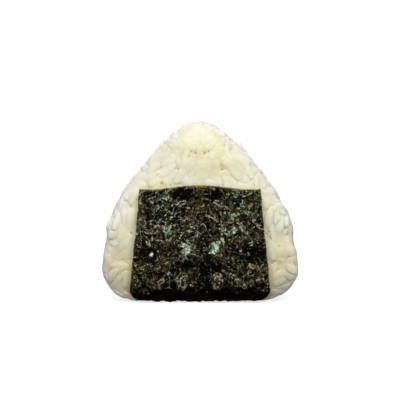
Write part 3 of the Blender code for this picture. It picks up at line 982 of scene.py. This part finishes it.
class Finish:
    """A material and its nodes."""

    def __init__(self, name):
        self.material = bpy.data.materials.new(name)
        self.material.use_nodes = True
        self.tree = self.material.node_tree
        self.tree.nodes.clear()

    def node(self, kind, settings=None, values=None, out=0):
        """Adds a node of this type: first its settings, then a value or a link for each socket."""
        made = self.tree.nodes.new(kind)
        for title, setting in (settings or {}).items():
            setattr(made, title, setting)
        for title, value in (values or {}).items():
            if isinstance(value, Field):
                self.tree.links.new(value.socket, made.inputs[title])
            else:
                made.inputs[title].default_value = value
        return None if out is None else Field(self, made.outputs[out])

    def vector(self, operation, values, out=0):
        return self.node("ShaderNodeVectorMath", {"operation": operation}, values, out)

    def attributes(self, *names):
        """The mesh's fields of these names."""
        kind = "ShaderNodeAttribute"
        return [self.node(kind, {"attribute_name": name}, out="Fac") for name in names]

    def object_place(self):
        return self.node("ShaderNodeTexCoord", out="Object")

    def noise(self, place, scale, detail=2.0, roughness=0.5, distortion=0.0, shift=0.0):
        titles = ("Vector", "Scale", "Detail", "Roughness", "Distortion", "W")
        values = zip(titles, (place, scale, detail, roughness, distortion, shift))
        return self.node("ShaderNodeTexNoise", {"noise_dimensions": "4D"}, dict(values))

    def warped(self, place, scale, reach):
        """The place, moved by up to half the reach in each direction by a coloured noise."""
        values = {"Vector": place, "Scale": scale}
        push = self.node("ShaderNodeTexNoise", None, values, out="Color")
        centred = self.vector("SUBTRACT", {0: push, 1: (0.5, 0.5, 0.5)})
        scaled = self.vector("SCALE", {0: centred, "Scale": reach})
        return self.vector("ADD", {0: place, 1: scaled})

    def off_borders(self, place, scale):
        """How far off the borders between small cells, in shares of a cell."""
        values = {"Vector": place, "Scale": scale}
        return self.node("ShaderNodeTexVoronoi", {"feature": "DISTANCE_TO_EDGE"}, values, out="Distance")

    def mix(self, share, first, second, blend="MIX"):
        """The second colour over the first, by this share. Colours are fields or sRGB values."""
        colours = [part if isinstance(part, Field) else linear(part) for part in (first, second)]
        settings = {"data_type": "RGBA", "blend_type": blend}
        return self.node("ShaderNodeMix", settings, {0: share, 6: colours[0], 7: colours[1]}, out=2)

    def bump(self, height, distance, strength, below=None):
        values = {"Height": height, "Distance": distance, "Strength": strength}
        return self.node("ShaderNodeBump", None, values | ({"Normal": below} if below else {}))

    def principled(self, values):
        return self.node("ShaderNodeBsdfPrincipled", None, values)

    def blend(self, share, first, second):
        return self.node("ShaderNodeMixShader", None, {0: share, 1: first, 2: second})

    def surface(self, shader):
        """The material, with this shader as its surface."""
        self.node("ShaderNodeOutputMaterial", None, {"Surface": shader}, out=None)
        return self.material


def linear(colour):
    """A linear colour from its sRGB value, 0 to 255."""
    steps = [c / 255 for c in colour]
    return (*[s / 12.92 if s <= 0.04045 else ((s + 0.055) / 1.055) ** 2.4 for s in steps], 1.0)


def rice_finish():
    """Cream on the pressed faces, lighter high up as painted light from above, paler on the rim, with
    painted highlights on grain edges that face up, painted shade between the grains, in the pits and
    towards the foot, and darker beside the strip from damp and painted shade."""
    finish = Finish("cooked_rice")
    mix = finish.mix
    place = finish.object_place()
    upwards = finish.node("ShaderNodeSeparateXYZ", None, {"Vector": place}, out="Z")
    tint, height, flat_face, seam, beside, upturned, pit = finish.attributes(
        "tint", "height", "flat_face", "seam", "beside", "upturned", "pit",
    )
    broad = finish.noise(place, 70.0).between(0.35, 0.65)
    small = finish.noise(place, 420.0, 3.0)
    # painted light: the upper part of the rice is lighter and yellower, as light falls from above
    upper = mix(broad, (254, 248, 214), (253, 246, 207))
    lower = mix(broad, (244, 240, 214), (243, 239, 209))
    cream_lit_from_above = mix(upwards.between(0.032, 0.052), lower, upper)
    ragged = (flat_face + 0.9 * (finish.noise(place, 160.0) - 0.5)).between(0.62, 0.95)
    rim = mix(flat_face.between(0.15, 0.6), (247, 244, 232), (244, 238, 211))
    base = mix(ragged, rim, cream_lit_from_above)
    pale = mix(tint.between(0.2, 1.0) * 0.4, base, (250, 248, 233))
    mottled = mix(small.between(0.5, 0.75) * 0.2, pale, (236, 226, 190))
    # painted shade in the low places and seams between the grains, less where a grain's edge faces up
    low = 1 - height.between(-0.1, 0.12)
    raised = upturned.between(0.25, 0.8)
    crevice_shade = (0.7 * seam.between(0.3, 0.75) + 0.7 * low).clamped() * (1 - 0.6 * raised)
    shadow = mix(ragged, (222, 214, 190), (228, 214, 166))
    crease_shaded = mix(crevice_shade * 0.7, mottled, shadow)
    # painted highlights: pale edges of grains that face up, in random spots
    shine_mask = finish.noise(place, 300.0, 1.0, shift=1.0).between(0.42, 0.56)
    painted_lip_highlights = raised * seam.between(0.1, 0.5) * (1 - seam.between(0.7, 1.0)) * shine_mask
    with_painted_lips = mix(painted_lip_highlights * 0.7, crease_shaded, (255, 253, 244))
    # damp beside the strip, and painted shade there
    stained_and_shaded = mix(beside * 0.8, with_painted_lips, (198, 191, 160))
    # painted shade: darker towards the foot, where less light falls
    foot = 1 - upwards.between(0.006, 0.036)
    foot_shaded = mix(foot, stained_and_shaded, (246, 240, 228), "MULTIPLY")
    # painted shade in the pits
    final = mix(pit.between(0.15, 0.9) * 0.8, foot_shaded, (172, 152, 106))
    grit = finish.noise(place, 900.0)
    normal = finish.bump(grit + 0.8 * small, 0.00006, 0.4)
    shader = finish.principled({
        "Base Color": final,
        "Roughness": 0.42,
        "Normal": normal,
        "Subsurface Weight": 0.5,
        "Subsurface Radius": (0.0008, 0.00065, 0.00045),
        "Subsurface Scale": 1.0,
        "Specular IOR Level": 0.35,
        "Coat Weight": 0.08,
        "Coat Roughness": 0.3,
    })
    return finish.surface(shader)


def nori_finish():
    """Near black, with olive patches, and painted highlights where the damp sheet shines: curved strokes
    and specks.
    """
    finish = Finish("nori_sheet")
    mix = finish.mix
    noise = finish.noise
    flat = finish.node("ShaderNodeUVMap", {"uv_map": "flat"})
    crest, edge, end, void, olive, mint, pink, loop = finish.attributes(
        "crest", "edge", "end", "void", "olive", "mint", "pink", "loop",
    )
    patches = noise(flat, 110.0, 3.0, 0.6, 0.4, shift=1.0) - 0.12 * void + 0.05 * olive
    stains = noise(flat, 170.0, 3.0, 0.6, 0.5, shift=2.0) + 0.12 * olive - 0.1 * void
    flecks = noise(flat, 700.0, 3.0, 0.7, 0.9, shift=3.0)
    fibres = noise(flat, 1500.0, 3.0, 0.65, 1.0, shift=4.0)
    life = (0.5 * (mint + pink)).clamped() - void
    crumpled = finish.warped(flat, 300.0, 0.0024)
    finely = finish.warped(crumpled, 900.0, 0.0008)
    cells = finish.node("ShaderNodeTexVoronoi", None, {"Vector": finely, "Scale": 620.0}, out="Color")
    facets = finish.node("ShaderNodeSeparateColor", None, {"Color": cells})
    ground = mix(patches.between(0.44, 0.64), (1, 1, 0), (21, 18, 7))
    dim = mix(flecks.between(0.45, 0.66) * 0.5, ground, (38, 33, 16))
    brown = mix(stains.between(0.48, 0.68) * flecks.between(0.4, 0.62), dim, (152, 137, 61))
    clouds = (0.12 + 0.88 * patches.between(0.36, 0.62) + 0.3 * life).clamped()
    grey = mix(flecks.between(0.52, 0.68) * clouds * 0.66, brown, (142, 130, 84))
    chequered = mix(facets.between(0.12, 0.4), (3, 3, 1), grey)
    broken = (noise(flat, 230.0, shift=6.0) + 0.05 * life).between(0.45, 0.55)
    short = (noise(flat, 400.0, shift=7.0) + 0.05 * life).between(0.46, 0.56)
    off_large = finish.off_borders(finely, 210.0)
    off_small = finish.off_borders(finely, 410.0)
    large_web = (1 - off_large.between(0.0, 0.055)) * broken
    small_web = (1 - off_small.between(0.0, 0.08)) * short
    large_gutters = (1 - off_large.between(0.04, 0.2)) * broken
    small_gutters = (1 - off_small.between(0.06, 0.26)) * short
    gutters = (large_gutters + small_gutters).clamped()
    off_line = (noise(crumpled, 120.0, 1.0, distortion=1.0, shift=8.0) - 0.5).size()
    long_strokes = (1 - off_line.between(0.0, 0.018)) * short
    chips = (facets + 0.06 * life - 0.3 * void).between(0.88, 0.95) * flecks.between(0.45, 0.6)
    # painted highlights: bright strokes along cell borders and lines, and bright facet chips; the strokes
    # also raise the bump and pick the glossy shader
    strokes = (large_web + 0.9 * small_web + 0.9 * long_strokes + 0.5 * chips).clamped()
    sheen = noise(flat, 520.0, 2.0, 0.6, shift=11.0) + 0.04 * life
    # the bright ring along each curled leaf is a painted highlight
    curled = loop * flecks.between(0.36, 0.52)
    open_ground = (1 - 0.8 * void).clamped()
    shown = (strokes * open_ground * fibres.between(0.2, 0.5) + 0.9 * curled).clamped()
    tone = noise(flat, 380.0, shift=5.0) + 0.09 * pink - 0.12 * mint
    # colours of the painted highlights: mint, pearl and olive-gold
    shine = mix(tone.between(0.38, 0.54), (214, 238, 182), (255, 240, 212))
    margin = 1 - edge.between(0.3, 3.2)
    golden = mix((0.6 * olive + 0.4 * margin).clamped(), shine, (199, 181, 96))
    stroke = mix((sheen + 0.1 * loop).between(0.49, 0.57), (118, 108, 66), golden)
    # painted shade: near black beside the strokes
    shadowed = mix(gutters * 0.96, chequered, (2, 2, 1))
    lit = mix(shown * 0.95, shadowed, stroke)
    fine = noise(finely, 1500.0, 2.0, 0.7, shift=13.0)
    grained = mix(fine.between(0.4, 0.57), (64, 64, 64), (255, 255, 255))
    broken_up = mix(1.0, lit, grained, "MULTIPLY")
    # painted glints: white specks, and mint clusters with white cores and mint dots
    grains = noise(flat, 1100.0, 1.0, shift=10.0)
    specks = (grains + 0.02 * mint).between(0.69, 0.74) * (1 - 1.3 * void).clamped()
    cluster = (mint - 0.9).between(0.0, 0.6)
    glints = 0.6 * grains + 0.4 * facets
    mint_glinted = mix(cluster * glints.between(0.42, 0.54), broken_up, (138, 170, 122))
    dots = noise(finely, 620.0, 1.0, shift=12.0) + 0.03 * mint
    mint_glint_dots = dots.between(0.62, 0.68) * mint.between(0.2, 0.6) * fibres.between(0.3, 0.5)
    glint_dotted = mix(mint_glint_dots, mint_glinted, (184, 214, 170))
    glint_cores = cluster * glints.between(0.57, 0.63)
    sparkling = mix((specks + glint_cores).clamped(), glint_dotted, (248, 254, 244))
    fringe = (1 - end.between(0.3, 1.2)) * stains.between(0.4, 0.56) * (1.1 - 1.5 * void).clamped()
    frayed = (0.4 * (1 - edge.between(0.0, 0.5)) + fringe).clamped() * fibres.between(0.3, 0.55)
    final = mix(frayed, sparkling, (150, 138, 74))
    normal = finish.bump(strokes + 0.5 * flecks + 0.4 * facets, 0.0005, 0.9)
    finer = finish.bump(fibres, 0.00025, 0.8, normal)
    dull, green, pearl = (
        finish.principled({
            "Base Color": final,
            "Roughness": roughness,
            "Normal": finer,
            "Specular IOR Level": level,
            "Specular Tint": (*tint, 1.0),
        })
        for roughness, level, tint in (
            (0.6, 0.03, (1.0, 1.0, 1.0)),
            (0.14, 0.9, (0.88, 1.0, 0.76)),
            (0.18, 0.8, (1.0, 0.92, 0.7)),
        )
    )
    damp = finish.blend(tone.between(0.4, 0.55), green, pearl)
    shine_mask = (strokes + chips + crest.between(0.3, 0.7) * broken - void).clamped()
    return finish.surface(finish.blend(shine_mask, dull, damp))


# Studio

def studio():
    """A pale round floor that bends up into a wall all round: a profile of radius and height turned
    about the upright axis, with radius = floor + bend * sin(a) and height = bend * (1 - cos(a))."""
    turn = np.linspace(0, math.pi / 2, 24)
    bend = FLOOR_RADIUS + FLOOR_BEND * np.sin(turn)
    radius = np.concatenate([[0.05], bend, [FLOOR_RADIUS + FLOOR_BEND]])[:, None]
    height = np.concatenate([[0.0], FLOOR_BEND * (1 - np.cos(turn)), [WALL_HEIGHT]])[:, None]
    around = np.linspace(0, math.tau, 97)[:-1]
    rings = [radius * np.cos(around), radius * np.sin(around), height + 0 * around]
    points = np.concatenate([[[0.0, 0.0, 0.0]], np.stack(rings, axis=-1).reshape(-1, 3)])
    quads, triangles = closed_faces(len(radius), len(around))
    hub = triangles[:len(around)]
    floor = make_mesh("studio_floor", points, quads[:, ::-1].tolist() + hub[:, ::-1].tolist())
    finish = Finish("studio_paper")
    away = finish.vector("LENGTH", {0: finish.object_place()}, out="Value")
    glow = finish.mix(away.between(0.25, 0.8), (209.35,) * 3, (245.81,) * 3)
    shader = finish.principled({
        "Base Color": (0.7, 0.7, 0.7, 1.0),
        "Roughness": 0.9,
        "Emission Color": glow,
        "Emission Strength": 1.0,
    })
    floor.data.materials.append(finish.surface(shader))
    floor.visible_diffuse = False
    floor.visible_glossy = False


def aimed(name, data, place, way):
    """A light or a camera at this place that looks this way."""
    made = bpy.data.objects.new(name, data)
    made.location = place
    made.rotation_euler = way.to_track_quat("-Z", "Y").to_euler()
    bpy.context.scene.collection.objects.link(made)
    return made


def lights():
    """Rectangular lights that face the middle of the onigiri, and an even white world."""
    for name, place, size, power in LIGHTS:
        light = bpy.data.lights.new(name, "AREA")
        light.shape = "RECTANGLE"
        light.size, light.size_y = size
        light.energy = power
        aimed(name, light, place, Vector((np.array(LIT_POINT) - place).tolist()))
    world = bpy.data.worlds.new("studio")
    world.use_nodes = True
    background = world.node_tree.nodes["Background"]
    background.inputs["Color"].default_value = (1.0, 1.0, 1.0, 1.0)
    background.inputs["Strength"].default_value = WORLD_STRENGTH
    bpy.context.scene.world = world


def camera():
    """A long lens that looks at the onigiri from a little above its middle."""
    data = bpy.data.cameras.new("camera")
    data.sensor_width = 36.0
    data.lens = 110.0
    back = Vector((0.0, -math.cos(CAMERA_ELEVATION), math.sin(CAMERA_ELEVATION)))
    place = Vector((0.0, 0.0, CAMERA_AIM_Z)) + back * CAMERA_DISTANCE
    bpy.context.scene.camera = aimed("camera", data, place, -back)


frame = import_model()

rng = np.random.default_rng(RICE_SEED)
top = lay_grains(rng)
top_layer = grain_frames(top, GRAIN_SUNK, rng)
under_layer = grain_frames(under_grains(rng), UNDER_SUNK, rng)
top_tints = rng.uniform(0, 1, len(top))
under_tints = rng.uniform(0, UNDER_PALEST, UNDER_COUNT)
top_levels = GRAIN_LEVELS * rng.uniform(-1, 1, len(top))
layers = [(*top_layer, top_tints, top_levels), (*under_layer, under_tints, 0 * under_tints)]
core = rice_core(layers, rng)
highest_first = np.argsort(-top_levels)
grains = rice_grains(*(part[highest_first] for part in (*top_layer, top_tints, top_levels)), rng)
nori = nori_sheet()

rice_material = rice_finish()
for piece in (core, grains):
    piece.data.materials.append(rice_material)
    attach(piece, "root")
    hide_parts("rice")
nori.data.materials.append(nori_finish())
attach(nori, "root")
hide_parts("nori")

studio()
lights()
camera()
bpy.context.scene.view_settings.view_transform = "Standard"
